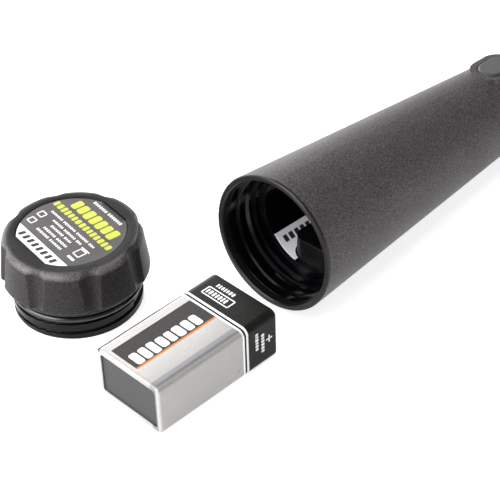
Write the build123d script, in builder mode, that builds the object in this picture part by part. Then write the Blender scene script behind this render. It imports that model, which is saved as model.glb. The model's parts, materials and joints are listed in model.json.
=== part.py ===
from build123d import *

import os
from math import acos, atan2, cos, degrees, hypot, radians, sin

# Pinpointer probe, opened to change its battery.
# The closed end of the tapered tube points along +X, its open mouth towards -X.
# The screw cap stands on its threaded spigot beside the mouth, and the 9 V battery
# lies flat in front of it. Everything rests on z = 0. Millimetres and degrees.

# ---------------------------------------------------------------- driving dimensions
# Gaps between neighbouring pieces: pressed or glued in, and standing on a face
FIT_GAP = 0.03
SEAT_GAP = 0.02

# Tube, with s counted along its axis from the plane of the mouth
PROBE_LENGTH = 212.0
HANDLE_LENGTH = 132.0
MOUTH_RADIUS = 22.5
TAPER = 0.0655
RIM_ROUND = 0.5
WALL_AT_SPIGOT = 1.8
NECK_END = 148.0
NOSE_RADIUS = 11.0
TIP_RADIUS = 9.6
TIP_ROUND = 6.0
TIP_WALL = 1.8
NOSE_TAPER = 0.03
NOSE_WALL = 2.2
CAVITY_END = 206.0
NOSE_SPIGOT = 8.0

# Mouth and battery well
LAND_RADIUS = 20.55
LEAD_IN = 0.4
LAND_END = 2.9
THREAD_START = 4.5
THREAD_END = 10.2
THREAD_TURNS = 1.55
BORE_RADIUS = 19.6
BORE_END = 13.0
LEDGE_RADIUS = 18.6
WELL_START = 16.0
WELL_RADIUS = 17.3
WELL_END = 58.0
WELL_END_RADIUS = 16.2
GUIDE_START = 18.0
GUIDE_END = 53.0
GUIDE_GAP = 18.8
GUIDE_WIDTH = 15.2
GUIDE_ROUND = 4.5
STRIP_END = 50.0
STRIP_ARC = (radians(-40), radians(-75))

# Screw thread, right-handed, a broad ridge on the cap and a narrow one in the mouth
PITCH = 3.5
MALE_CREST = 20.15
MALE_ROOT = 19.45
MALE_RIDGE = 2.4
FEMALE_ROOT = 20.35
FEMALE_CREST = 19.65
FEMALE_RIDGE = 1.0
RIDGE_SLOPE = 0.2

# Screw cap
CAP_HEIGHT = 25.7
SHOULDER_Z = 10.0
TOP_RADIUS = 20.0
BROW_RADIUS = 21.7
BROW_Z = 22.0
KNOB_RADIUS = 22.9
KNOB_FOOT_Z = 12.5
KNOB_FOOT_ROUND = 1.0
COLLAR_RADIUS = 21.3
LOBES = 8
FLUTE_RADIUS = 3.9
FLUTE_TOP_FLOOR = 20.0
FLUTE_FOOT_FLOOR = 21.75
LABEL_CENTRE = (0.1, 0.35)
RECESS_DEPTH = 0.45
RECESS_RADIUS = 16.95
RECESS_WIDTH = 30.8
RECESS_SHIFT = 0.7
LABEL_RADIUS = 16.75
LABEL_WIDTH = 29.9
LABEL_SHIFT = 0.45
LABEL_THICKNESS = 0.33
CAP_HOLLOW_RADIUS = 16.6
CAP_HOLLOW_TOP = 21.0
PAD_Z = 2.6
O_RING_Z = 7.75
O_RING_SECTION = 0.92
O_RING_RADIUS = 19.75
SPIGOT_THREAD_START = -1.2
SPIGOT_THREAD_TOP = 5.3
SPIGOT_THREAD_AZIMUTH = -20.0

# 9 V battery
CASE_LENGTH = 46.4
CASE_WIDTH = 26.5
CASE_HEIGHT = 17.5
CASE_CORNER = 2.2
CASE_END_ROUND = 0.8
TERMINAL_SPACING = 12.7
JACKET = 0.35
CRIMP = 0.42
CRIMP_WIDTH = 1.8
CELL_RADIUS = 4.1
END_PLATE = 1.0

# Electronics inside the tube
BUTTON_S = 112.0
BUTTON_LENGTH = 14.0
BUTTON_WIDTH = 9.0
BLOCK_START = 57.5
BLOCK_END = 64.0
BOARD_START = 68.0
BOARD_END = 118.0
BOARD_WIDTH = 21.0
BOARD_TOP = -4.0
BOARD_THICKNESS = 1.6
BOARD_SCREW = (71.0, 8.0)
SCREW_RADIUS = 0.95
SCREW_LENGTH = 4.4
ARM_LENGTH = 12.0
CHIP_PLACE = (101.5, 5.0)
SMALL_PARTS_PLACE = (91.0, -0.5)
CAPACITOR_PLACE = (112.0, 7.0)
BARREL_RADIUS = 2.0
BARREL_LENGTH = 8.5
STEM_RADIUS = 1.45
CONTACT_OUT = 2.5
SOUND_S = 90.0
SOUND_UP = 1.6
MOTOR_START = 84.0
MOTOR_END = 97.0
MOTOR_ACROSS = -6.5
LAMP_UP = 10.5
LAMP_RADIUS = 2.5
HOOD_LENGTH = 13.0
CORE_START = 150.0
CORE_END = 202.0
CORE_RADIUS = 3.0
FORMER_RADIUS = 4.0
CUSHION = 1.4

# Layout on the table, about the middle of the whole group
MOUTH_FOOT = (-74.7, -24.0)
CAP_CENTRE = (-111.17, 23.08)
FLUTE_TURN = 16.8
LABEL_TURN = -10.0
BATTERY_FRONT = (-90.4, -28.4)
BATTERY_TURN = -2.4

# ---------------------------------------------------------------- frames of reference
# The tube lies on the rim of its mouth and on the rounding of its tip.
rise = MOUTH_RADIUS - RIM_ROUND - (TIP_RADIUS - TIP_ROUND)
run = PROBE_LENGTH - TIP_ROUND - RIM_ROUND
TILT = acos((TIP_ROUND - RIM_ROUND) / hypot(rise, run)) - atan2(run, rise)
MOUTH_HEIGHT = (MOUTH_RADIUS - RIM_ROUND) * cos(TILT) + RIM_ROUND * (1 + sin(TILT))

ALONG = Vector(cos(TILT), 0, -sin(TILT))
UP = Vector(sin(TILT), 0, cos(TILT))
ACROSS = Vector(0, 1, 0)
MOUTH = Vector(MOUTH_FOOT[0] + MOUTH_RADIUS * sin(TILT), MOUTH_FOOT[1], MOUTH_HEIGHT)
PROBE_AXIS = Axis(MOUTH, ALONG)
UP_AXIS = Axis(MOUTH, UP)


def at(s, across=0.0, up=0.0):
    """Point of the tube, s from the mouth along its axis."""
    return MOUTH + ALONG * s + ACROSS * across + UP * up


def section(s):
    """Plane across the tube at s: local x is across, local y is up."""
    return Plane(origin=at(s), x_dir=ACROSS, z_dir=ALONG)


def profile(across=0.0):
    """Upright plane along the tube: local x is s, local y is up."""
    return Plane(origin=at(0, across), x_dir=ALONG, z_dir=-ACROSS)


def level(up):
    """Plane along the tube, square to its up: local x is s, local y is across."""
    return Plane(origin=at(0, 0, up), x_dir=ALONG, z_dir=UP)


def outside(s):
    """Outer radius of the handle at s."""
    return MOUTH_RADIUS - TAPER * s


def inside(s):
    """Inner radius of the battery well and of the handle behind it at s."""
    if s < WELL_END:
        fraction = (s - WELL_START) / (WELL_END - WELL_START)
        return WELL_RADIUS - (WELL_RADIUS - WELL_END_RADIUS) * fraction
    narrow_radius = outside(HANDLE_LENGTH) - WALL_AT_SPIGOT
    fraction = (s - WELL_END) / (HANDLE_LENGTH - WELL_END)
    return WELL_END_RADIUS - (WELL_END_RADIUS - narrow_radius) * fraction


CAP_AXIS = Axis((*CAP_CENTRE, 0), (0, 0, 1))


def cap_plane(z, turn):
    """Level plane through the cap at height z, its local x turned from +X."""
    x_dir = (cos(radians(turn)), sin(radians(turn)), 0)
    return Plane(origin=(*CAP_CENTRE, z), x_dir=x_dir, z_dir=(0, 0, 1))


cap_profile = Plane(origin=(*CAP_CENTRE, 0), x_dir=(1, 0, 0), z_dir=(0, -1, 0))

battery_x_dir = Vector(-cos(radians(BATTERY_TURN)), -sin(radians(BATTERY_TURN)), 0)


def battery_section(distance):
    """Plane across the battery, distance from its terminal end towards its base."""
    origin = Vector(*BATTERY_FRONT, CASE_HEIGHT / 2) + battery_x_dir * distance
    return Plane(origin=origin, x_dir=battery_x_dir.cross(Vector(0, 0, 1)), z_dir=battery_x_dir)


BATTERY_AXIS = Axis(Vector(*BATTERY_FRONT, 0), battery_x_dir)


def ridge(helix, centre, depth, width):
    """Swept ridge of a thread with sloping flanks, depth counted from the helix towards centre."""
    start = helix @ 0
    with BuildPart() as made:
        with BuildSketch(Plane(origin=start, x_dir=centre - start, z_dir=helix % 0)):
            with BuildLine():
                foot = width / 2 + RIDGE_SLOPE / 3
                crest = width / 2 - RIDGE_SLOPE
                root = -0.3 if depth > 0 else 0.3
                Polyline((root, -foot), (depth, -crest), (depth, crest), (root, foot), close=True)
            make_face()
        sweep(path=helix, is_frenet=True)
    return made


# ---------------------------------------------------------------- housing
with BuildLine() as mouth_helix:
    Helix(
        pitch=PITCH,
        height=THREAD_TURNS * PITCH,
        radius=FEMALE_ROOT,
        center=at(THREAD_START),
        direction=ALONG,
    )
mouth_thread = ridge(mouth_helix.line, at(THREAD_START), FEMALE_ROOT - FEMALE_CREST, FEMALE_RIDGE)

with BuildPart() as handle_tube:
    with BuildSketch(profile()):
        with BuildLine():
            Polyline(
                (0, LAND_RADIUS + LEAD_IN),
                (0, MOUTH_RADIUS),
                (HANDLE_LENGTH, outside(HANDLE_LENGTH)),
                (HANDLE_LENGTH, inside(HANDLE_LENGTH)),
                (WELL_END, WELL_END_RADIUS),
                (WELL_START, WELL_RADIUS),
                (WELL_START, LEDGE_RADIUS),
                (BORE_END, LEDGE_RADIUS),
                (BORE_END, BORE_RADIUS),
                (THREAD_END + 0.9, BORE_RADIUS),
                (THREAD_END, FEMALE_ROOT),
                (LAND_END, FEMALE_ROOT),
                (LAND_END, LAND_RADIUS),
                (LEAD_IN, LAND_RADIUS),
                close=True,
            )
        make_face()
    revolve(axis=PROBE_AXIS)
    mouth_edges = handle_tube.edges().filter_by(GeomType.CIRCLE).group_by(PROBE_AXIS)[0]
    fillet(mouth_edges.sort_by(SortBy.LENGTH)[-1], RIM_ROUND)
    # Raised rim around the power button, then the hole for the button
    bezel_foot = inside(BUTTON_S) + 0.4
    with BuildSketch(level(bezel_foot)):
        with Locations((BUTTON_S, 0)):
            SlotOverall(BUTTON_LENGTH + 6, BUTTON_WIDTH + 5)
    extrude(amount=outside(BUTTON_S) + 0.7 - bezel_foot, taper=4)
    with BuildSketch(level(0)):
        with Locations((BUTTON_S, 0)):
            SlotOverall(BUTTON_LENGTH + 0.6, BUTTON_WIDTH + 0.6)
    extrude(amount=2 * MOUTH_RADIUS, mode=Mode.SUBTRACT)
    # Sound slots beside the buzzer
    with BuildSketch(profile(MOUTH_RADIUS)):
        with Locations((SOUND_S, SOUND_UP)):
            with GridLocations(0, 2.4, 1, 3):
                SlotOverall(8, 1.1)
    extrude(amount=MOUTH_RADIUS - 12, mode=Mode.SUBTRACT)
    add(mouth_thread.part)

with BuildPart() as nose_tube:
    spigot_start = HANDLE_LENGTH - NOSE_SPIGOT
    spigot_radius = inside(HANDLE_LENGTH) - FIT_GAP
    spigot_bore = spigot_radius - 1.6
    tip_centre = (PROBE_LENGTH - TIP_ROUND, TIP_RADIUS - TIP_ROUND)
    with BuildSketch(profile()):
        with BuildLine():
            neck = Spline(
                (HANDLE_LENGTH, outside(HANDLE_LENGTH)),
                (NECK_END, NOSE_RADIUS),
                tangents=((1, -TAPER), (1, -NOSE_TAPER)),
            )
            Line(neck @ 1, (tip_centre[0], TIP_RADIUS))
            CenterArc(tip_centre, TIP_ROUND, 0, 90)
            Polyline(
                (PROBE_LENGTH, tip_centre[1]),
                (PROBE_LENGTH, 0),
                (CAVITY_END, 0),
                (CAVITY_END, TIP_RADIUS - TIP_WALL),
                (NECK_END, NOSE_RADIUS - NOSE_WALL),
                (HANDLE_LENGTH + 4, spigot_bore),
                (spigot_start, spigot_bore),
                (spigot_start, spigot_radius),
                (HANDLE_LENGTH, spigot_radius),
                (HANDLE_LENGTH, outside(HANDLE_LENGTH)),
            )
        make_face()
    revolve(axis=PROBE_AXIS)
    # Hood of the lamp on the neck, and the lamp's bore
    hood_radius = LAMP_RADIUS + 0.9
    with BuildSketch(section(HANDLE_LENGTH)):
        with Locations((0, LAMP_UP)):
            Circle(hood_radius)
        with Locations((0, LAMP_UP - 4.5)):
            Rectangle(2 * hood_radius, 9)
        Circle(spigot_bore - 0.6, mode=Mode.SUBTRACT)
    extrude(amount=HOOD_LENGTH)
    with BuildSketch(section(HANDLE_LENGTH + 1)):
        with Locations((0, LAMP_UP)):
            Circle(LAMP_RADIUS + 0.05)
    extrude(amount=HOOD_LENGTH + 7, mode=Mode.SUBTRACT)
    # Scraping blade along the top of the nose
    with BuildSketch(profile(0.7)):
        with BuildLine():
            Polyline(
                (162, NOSE_RADIUS - 1.2),
                (166, NOSE_RADIUS + 0.4),
                (202, TIP_RADIUS + 0.9),
                (205, TIP_RADIUS - 1.0),
                close=True,
            )
        make_face()
    extrude(amount=1.4)

# ---------------------------------------------------------------- battery well
with BuildPart() as battery_guides:
    with BuildSketch(profile()):
        with BuildLine():
            Polyline(
                (GUIDE_START, 8),
                (GUIDE_START, inside(GUIDE_START) - FIT_GAP),
                (GUIDE_END, inside(GUIDE_END) - FIT_GAP),
                (GUIDE_END, 8),
                close=True,
            )
        make_face()
    revolve(axis=PROBE_AXIS)
    with BuildSketch(section(GUIDE_START)):
        with Locations((0, GUIDE_GAP / 2 + 5), (0, -GUIDE_GAP / 2 - 5)):
            Rectangle(GUIDE_WIDTH, 10)
    extrude(amount=GUIDE_END - GUIDE_START, mode=Mode.INTERSECT)
    guide_front = battery_guides.edges().filter_by(UP_AXIS).group_by(PROBE_AXIS)[0]
    fillet(guide_front, GUIDE_ROUND)

with BuildPart() as serial_strip:
    with BuildSketch(profile()):
        with BuildLine():
            Polyline(
                (WELL_START + 0.4, inside(WELL_START) - 0.25),
                (WELL_START + 0.4, inside(WELL_START + 0.4) - FIT_GAP),
                (STRIP_END, inside(STRIP_END) - FIT_GAP),
                (STRIP_END, inside(STRIP_END) - 0.25),
                close=True,
            )
        make_face()
    revolve(axis=PROBE_AXIS)
    with BuildSketch(section(0)):
        with BuildLine():
            upper = (MOUTH_RADIUS * cos(STRIP_ARC[0]), MOUTH_RADIUS * sin(STRIP_ARC[0]))
            lower = (MOUTH_RADIUS * cos(STRIP_ARC[1]), MOUTH_RADIUS * sin(STRIP_ARC[1]))
            Polyline((0, 0), upper, (MOUTH_RADIUS, -MOUTH_RADIUS), lower, close=True)
        make_face()
    extrude(amount=WELL_END, mode=Mode.INTERSECT)
    with BuildSketch(level(0)):
        with Locations(((GUIDE_START + WELL_END) / 2, 0)):
            RectangleRounded(WELL_END - GUIDE_START + 0.6, GUIDE_WIDTH + 0.6, GUIDE_ROUND)
    extrude(amount=-MOUTH_RADIUS, mode=Mode.SUBTRACT)

screw_places = [(BOARD_SCREW[0], side * BOARD_SCREW[1]) for side in (1, -1)]
contact_places = [(side * TERMINAL_SPACING / 2, 0) for side in (1, -1)]

with BuildPart() as contact_block:
    with BuildSketch(profile()):
        with BuildLine():
            Polyline(
                (BLOCK_START, 0),
                (BLOCK_START, inside(BLOCK_END) - FIT_GAP),
                (BLOCK_END, inside(BLOCK_END) - FIT_GAP),
                (BLOCK_END, 0),
                close=True,
            )
        make_face()
    revolve(axis=PROBE_AXIS)
    # Two arms that carry the circuit board
    arm_height = 3.4
    arm_up = BOARD_TOP - BOARD_THICKNESS - arm_height / 2
    with BuildSketch(section(BLOCK_END)):
        with Locations((BOARD_SCREW[1], arm_up), (-BOARD_SCREW[1], arm_up)):
            Rectangle(4.6, arm_height)
    extrude(amount=ARM_LENGTH)
    with BuildSketch(level(BOARD_TOP)):
        with Locations(*screw_places):
            Circle(SCREW_RADIUS + FIT_GAP)
    extrude(amount=-SCREW_LENGTH - 0.2, mode=Mode.SUBTRACT)
    with BuildSketch(section(BLOCK_START)):
        with Locations(*contact_places):
            Circle(BARREL_RADIUS + FIT_GAP)
    extrude(amount=BLOCK_END - BLOCK_START, mode=Mode.SUBTRACT)

with BuildPart() as contact_barrels:
    with BuildSketch(section(BLOCK_START)):
        with Locations(*contact_places):
            Circle(BARREL_RADIUS)
    extrude(amount=BARREL_LENGTH)
    with BuildSketch(section(BLOCK_START)):
        with Locations(*contact_places):
            Circle(STEM_RADIUS + 0.05)
    extrude(amount=BARREL_LENGTH - 1.3, mode=Mode.SUBTRACT)


def contact_plunger(across):
    """Sprung contact: a broad head in front of a stem that slides in its barrel."""
    head = BLOCK_START - CONTACT_OUT
    with BuildPart() as plunger:
        with BuildSketch(section(head)):
            with Locations((across, 0)):
                Circle(2.8)
        extrude(amount=1.0)
        with BuildSketch(section(head + 1.0)):
            with Locations((across, 0)):
                Circle(STEM_RADIUS)
        extrude(amount=6.5)
    return plunger


positive_contact = contact_plunger(-TERMINAL_SPACING / 2)
negative_contact = contact_plunger(TERMINAL_SPACING / 2)

# ---------------------------------------------------------------- circuit board
with BuildPart() as circuit_board:
    with BuildSketch(level(BOARD_TOP - BOARD_THICKNESS)):
        with Locations(((BOARD_START + BOARD_END) / 2, 0)):
            RectangleRounded(BOARD_END - BOARD_START, BOARD_WIDTH, 1)
        with Locations(*screw_places):
            Circle(SCREW_RADIUS + 0.15, mode=Mode.SUBTRACT)
    extrude(amount=BOARD_THICKNESS)

with BuildPart() as board_screws:
    with BuildSketch(level(BOARD_TOP)):
        with Locations(*screw_places):
            Circle(2 * SCREW_RADIUS)
    extrude(amount=1.3)
    with BuildSketch(level(BOARD_TOP)):
        with Locations(*screw_places):
            Circle(SCREW_RADIUS)
    extrude(amount=-SCREW_LENGTH)

with BuildPart() as main_chip:
    with BuildSketch(level(BOARD_TOP)):
        with Locations(CHIP_PLACE):
            RectangleRounded(8, 8, 0.3)
    extrude(amount=1.2)

with BuildPart() as small_components:
    with BuildSketch(level(BOARD_TOP)):
        with Locations(SMALL_PARTS_PLACE):
            with GridLocations(2.6, 2.2, 5, 2):
                Rectangle(1.6, 0.9)
    extrude(amount=0.6)

with BuildPart() as capacitor:
    with BuildSketch(level(BOARD_TOP)):
        with Locations(CAPACITOR_PLACE):
            Circle(2.5)
    extrude(amount=7)
    fillet(capacitor.edges().group_by(UP_AXIS)[-1], 0.4)

with BuildPart() as buzzer:
    buzzer_radius = 5.5
    buzzer_across = 9.8
    buzzer_place = (SOUND_S, BOARD_TOP + buzzer_radius + SEAT_GAP)
    with BuildSketch(profile(buzzer_across)):
        with Locations(buzzer_place):
            Circle(buzzer_radius)
    extrude(amount=6.5)
    with BuildSketch(profile(buzzer_across)):
        with Locations(buzzer_place):
            Circle(1.0)
    extrude(amount=1.5, mode=Mode.SUBTRACT)

with BuildPart() as sound_membrane:
    with BuildSketch(profile(12.8)):
        with Locations((SOUND_S, SOUND_UP)):
            Circle(4.8)
    extrude(amount=0.5)

motor_radius = 3.0
motor_place = (MOTOR_ACROSS, BOARD_TOP + motor_radius + SEAT_GAP)
shaft_radius = 0.4
with BuildPart() as vibration_motor:
    with BuildSketch(section(MOTOR_START)):
        with Locations(motor_place):
            Circle(motor_radius)
    extrude(amount=MOTOR_END - MOTOR_START)
    with BuildSketch(section(MOTOR_END)):
        with Locations(motor_place):
            Circle(shaft_radius + 0.04)
    extrude(amount=-5, mode=Mode.SUBTRACT)

with BuildPart() as motor_rotor:
    weight_length = 2.6
    with BuildSketch(section(MOTOR_END + 1)):
        with Locations(motor_place):
            Circle(motor_radius - 0.4)
            with Locations((0, 2.2)):
                Rectangle(6, 3, mode=Mode.SUBTRACT)
    extrude(amount=weight_length)
    with BuildSketch(section(MOTOR_END - 4.5)):
        with Locations(motor_place):
            Circle(shaft_radius)
    extrude(amount=5.5 + weight_length)

switch_height = 3.5
plunger_foot = BOARD_TOP + 1.7
plunger_length = 3.0
with BuildPart() as tactile_switch:
    with BuildSketch(level(BOARD_TOP)):
        with Locations((BUTTON_S, 0)):
            RectangleRounded(6, 6, 0.4)
    extrude(amount=switch_height)
    with BuildSketch(level(BOARD_TOP + switch_height)):
        with Locations((BUTTON_S, 0)):
            Circle(1.8)
    extrude(amount=0.6 - switch_height, mode=Mode.SUBTRACT)

with BuildPart() as switch_plunger:
    with BuildSketch(level(plunger_foot)):
        with Locations((BUTTON_S, 0)):
            Circle(1.7)
    extrude(amount=plunger_length)

with BuildPart() as power_button:
    flange_foot = inside(BUTTON_S) - 2.6
    flange = 1.0
    with BuildSketch(level(flange_foot)):
        with Locations((BUTTON_S, 0)):
            SlotOverall(BUTTON_LENGTH + 2, BUTTON_WIDTH + 1.8)
    extrude(amount=flange)
    with BuildSketch(level(flange_foot + flange)):
        with Locations((BUTTON_S, 0)):
            SlotOverall(BUTTON_LENGTH, BUTTON_WIDTH)
    extrude(amount=outside(BUTTON_S) + 1.3 - flange_foot - flange)
    fillet(power_button.edges().group_by(UP_AXIS)[-1], 0.9)
    post_foot = plunger_foot + plunger_length + SEAT_GAP
    with BuildSketch(level(post_foot)):
        with Locations((BUTTON_S, 0)):
            Circle(1.5)
    extrude(amount=flange_foot - post_foot)

# ---------------------------------------------------------------- lamp
lamp_start = HANDLE_LENGTH + 5.5
with BuildPart() as lamp:
    with BuildSketch(section(lamp_start)):
        with Locations((0, LAMP_UP)):
            Circle(LAMP_RADIUS)
    extrude(amount=HOOD_LENGTH - 4.6)
    fillet(lamp.edges().group_by(PROBE_AXIS)[-1], 1.8)


def wire(radius, bend, points):
    """Insulated wire along straight runs joined by arcs; points are (s, across, up)."""
    places = [at(*point) for point in points]
    with BuildPart() as made:
        with BuildLine() as route:
            FilletPolyline(*places, radius=bend)
        with BuildSketch(Plane(origin=route.line @ 0, z_dir=route.line % 0)):
            Circle(radius)
        sweep(path=route.line)
    return made


def wire_pair(radius, bend, across, route):
    """Two wires side by side, each at its own distance from the middle."""
    with BuildPart() as pair:
        for side in (-1, 1):
            add(wire(radius, bend, [(s, side * across, up) for s, up in route]).part)
    return pair


lamp_lead_up = LAMP_UP - 1.2
lamp_lead_route = [
    (lamp_start - 0.05, lamp_lead_up),
    (BOARD_END + 5, lamp_lead_up),
    (BOARD_END - 0.8, 3.4),
    (BOARD_END - 0.8, BOARD_TOP + 0.05),
]
battery_lead_route = [
    (BLOCK_START + BARREL_LENGTH + 0.05, 0),
    (BOARD_START + 2, 0),
    (BOARD_START + 7, BOARD_TOP + 0.65),
    (BOARD_START + 12, BOARD_TOP + 0.65),
]
coil_lead_route = [
    (CORE_START - 0.1, 0),
    (CORE_START - 11, 0),
    (BOARD_END + 9, BOARD_TOP + 0.55),
    (BOARD_END - 2, BOARD_TOP + 0.55),
]
lamp_leads = wire_pair(0.3, 2.5, 1.27, lamp_lead_route)
battery_leads = wire_pair(0.6, 3.0, TERMINAL_SPACING / 2, battery_lead_route)
coil_leads = wire_pair(0.5, 6.0, 5.3, coil_lead_route)

# ---------------------------------------------------------------- search coil in the nose
with BuildPart() as ferrite_core:
    with BuildSketch(section(CORE_START)):
        Circle(CORE_RADIUS)
    extrude(amount=CORE_END - CORE_START)

flange_radius = 6.6
flanges = (CORE_START, (CORE_START + CORE_END) / 2 - 0.5, CORE_END - 1)
with BuildPart() as coil_former:
    with BuildSketch(section(CORE_START)):
        Circle(FORMER_RADIUS)
    extrude(amount=CORE_END - CORE_START)
    for start in flanges:
        with BuildSketch(section(start)):
            Circle(flange_radius)
        extrude(amount=1.0)
    with BuildSketch(section(CORE_START)):
        Circle(CORE_RADIUS + 0.04)
    extrude(amount=CORE_END - CORE_START, mode=Mode.SUBTRACT)


def winding(start, end):
    """Enamelled wire wound on the former between two flanges."""
    with BuildPart() as wound:
        with BuildSketch(section(start + 0.1)):
            Circle(flange_radius - 0.5)
            Circle(FORMER_RADIUS + FIT_GAP, mode=Mode.SUBTRACT)
        extrude(amount=end - start - 0.2)
    return wound


transmit_winding = winding(flanges[0] + 1, flanges[1])
receive_winding = winding(flanges[1] + 1, flanges[2])

cavity_start_radius = NOSE_RADIUS - NOSE_WALL
cavity_end_radius = TIP_RADIUS - TIP_WALL
cavity_fall = (cavity_start_radius - cavity_end_radius) / (CAVITY_END - NECK_END)
with BuildPart() as core_cushions:
    for start in (CORE_START, CORE_END - CUSHION):
        cavity_radius = cavity_start_radius - cavity_fall * (start + CUSHION - NECK_END)
        with BuildSketch(section(start)):
            Circle(cavity_radius - FIT_GAP)
            Circle(flange_radius + 0.05, mode=Mode.SUBTRACT)
        extrude(amount=CUSHION)

# ---------------------------------------------------------------- screw cap
with BuildLine() as spigot_helix:
    Helix(pitch=PITCH, height=SPIGOT_THREAD_TOP - SPIGOT_THREAD_START, radius=MALE_ROOT)
spigot_thread = ridge(spigot_helix.line, Vector(0, 0, 0), MALE_ROOT - MALE_CREST, MALE_RIDGE)
spigot_thread_place = Location(
    (*CAP_CENTRE, SPIGOT_THREAD_START), (0, 0, SPIGOT_THREAD_AZIMUTH)
)

with BuildPart() as cap_knob:
    groove_half = O_RING_SECTION + 0.2
    groove_floor = O_RING_RADIUS - O_RING_SECTION - 0.05
    with BuildSketch(cap_profile):
        with BuildLine():
            brow = EllipticalCenterArc(
                (TOP_RADIUS, BROW_Z), BROW_RADIUS - TOP_RADIUS, CAP_HEIGHT - BROW_Z, 0, arc_size=90
            )
            Line(brow @ 0, (KNOB_RADIUS, KNOB_FOOT_Z))
            foot = RadiusArc(
                (KNOB_RADIUS, KNOB_FOOT_Z), (COLLAR_RADIUS, KNOB_FOOT_Z - KNOB_FOOT_ROUND), 1.8
            )
            Polyline(
                foot @ 1,
                (COLLAR_RADIUS, SHOULDER_Z),
                (MALE_CREST, SHOULDER_Z),
                (MALE_CREST, O_RING_Z + groove_half),
                (groove_floor, O_RING_Z + groove_half),
                (groove_floor, O_RING_Z - groove_half),
                (MALE_CREST, O_RING_Z - groove_half),
                (MALE_CREST, SPIGOT_THREAD_TOP + MALE_RIDGE / 2),
                (MALE_ROOT, SPIGOT_THREAD_TOP + MALE_RIDGE / 2 - 0.5),
                (MALE_ROOT, 0),
                (CAP_HOLLOW_RADIUS, 0),
                (CAP_HOLLOW_RADIUS, CAP_HOLLOW_TOP),
                (0, CAP_HOLLOW_TOP),
                (0, CAP_HEIGHT),
                brow @ 1,
            )
        make_face()
    revolve(axis=CAP_AXIS)
    # Finger flutes between the lobes, fading out towards the collar
    flute_height = CAP_HEIGHT - (KNOB_FOOT_Z - KNOB_FOOT_ROUND)
    flute_taper = degrees(atan2(FLUTE_FOOT_FLOOR - FLUTE_TOP_FLOOR, flute_height))
    with BuildSketch(cap_plane(CAP_HEIGHT, FLUTE_TURN)):
        with PolarLocations(FLUTE_TOP_FLOOR + FLUTE_RADIUS, LOBES):
            Circle(FLUTE_RADIUS)
    extrude(amount=-flute_height, taper=flute_taper, mode=Mode.SUBTRACT)
    # Label recess, a disc with two flats
    with BuildSketch(cap_plane(CAP_HEIGHT, LABEL_TURN)):
        with Locations(LABEL_CENTRE):
            Circle(RECESS_RADIUS)
            with Locations((RECESS_SHIFT, 0)):
                Rectangle(RECESS_WIDTH, 2 * RECESS_RADIUS, mode=Mode.INTERSECT)
    extrude(amount=-RECESS_DEPTH, mode=Mode.SUBTRACT)
    # The thread runs out through the foot of the spigot, which is chamfered
    with Locations(spigot_thread_place):
        add(spigot_thread.part)
    with BuildSketch(cap_profile):
        with BuildLine():
            Polyline(
                (CAP_HOLLOW_RADIUS - 1, 0),
                (MALE_ROOT + 0.3, 0),
                (MALE_CREST + 0.4, 0.9),
                (MALE_CREST + 1, 0.9),
                (MALE_CREST + 1, -3),
                (CAP_HOLLOW_RADIUS - 1, -3),
                close=True,
            )
        make_face()
    revolve(axis=CAP_AXIS, mode=Mode.SUBTRACT)

with BuildPart() as cap_label:
    with BuildSketch(cap_plane(CAP_HEIGHT - RECESS_DEPTH, LABEL_TURN)):
        with Locations(LABEL_CENTRE):
            Circle(LABEL_RADIUS)
            with Locations((LABEL_SHIFT, 0)):
                Rectangle(LABEL_WIDTH, 2 * LABEL_RADIUS, mode=Mode.INTERSECT)
    extrude(amount=LABEL_THICKNESS)

with BuildPart() as cap_o_ring:
    with BuildSketch(cap_profile):
        with Locations((O_RING_RADIUS, O_RING_Z)):
            Circle(O_RING_SECTION)
    revolve(axis=CAP_AXIS)

with BuildPart() as battery_pad:
    with BuildSketch(cap_plane(PAD_Z, 0)):
        Circle(CAP_HOLLOW_RADIUS - 0.2)
    extrude(amount=CAP_HOLLOW_TOP - PAD_Z)
    fillet(battery_pad.edges().group_by(Axis.Z)[0], 0.8)

# ---------------------------------------------------------------- battery
with BuildPart() as battery_jacket:
    with BuildSketch(battery_section(0)):
        RectangleRounded(CASE_WIDTH, CASE_HEIGHT, CASE_CORNER)
    extrude(amount=CASE_LENGTH)
    ends = battery_jacket.edges().group_by(BATTERY_AXIS)
    fillet(ends[0] + ends[-1], CASE_END_ROUND)
    # Room for the cells and the end plates, under the crimped ends
    with BuildSketch(battery_section(CRIMP)):
        RectangleRounded(CASE_WIDTH - 2 * JACKET, CASE_HEIGHT - 2 * JACKET, CASE_CORNER - JACKET)
    extrude(amount=CASE_LENGTH - 2 * CRIMP, mode=Mode.SUBTRACT)
    with BuildSketch(battery_section(0)):
        RectangleRounded(CASE_WIDTH - 2 * CRIMP_WIDTH, CASE_HEIGHT - 2 * CRIMP_WIDTH, 1.0)
    extrude(amount=CASE_LENGTH, mode=Mode.SUBTRACT)


def end_plate(distance):
    """Insulating plate that closes one end of the battery, held by the crimped jacket."""
    with BuildPart() as plate:
        with BuildSketch(battery_section(distance)):
            inset = 2 * (JACKET + FIT_GAP)
            RectangleRounded(CASE_WIDTH - inset, CASE_HEIGHT - inset, CASE_CORNER - JACKET)
        extrude(amount=END_PLATE)
    return plate


battery_top_plate = end_plate(CRIMP + SEAT_GAP)
battery_base_plate = end_plate(CASE_LENGTH - CRIMP - SEAT_GAP - END_PLATE)

with BuildPart() as battery_cells:
    cell_margin = CRIMP + END_PLATE + 0.18
    with BuildSketch(battery_section(cell_margin)):
        with GridLocations(2 * CELL_RADIUS + 0.1, 2 * CELL_RADIUS + 0.1, 3, 2):
            Circle(CELL_RADIUS)
    extrude(amount=CASE_LENGTH - 2 * cell_margin)

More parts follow.
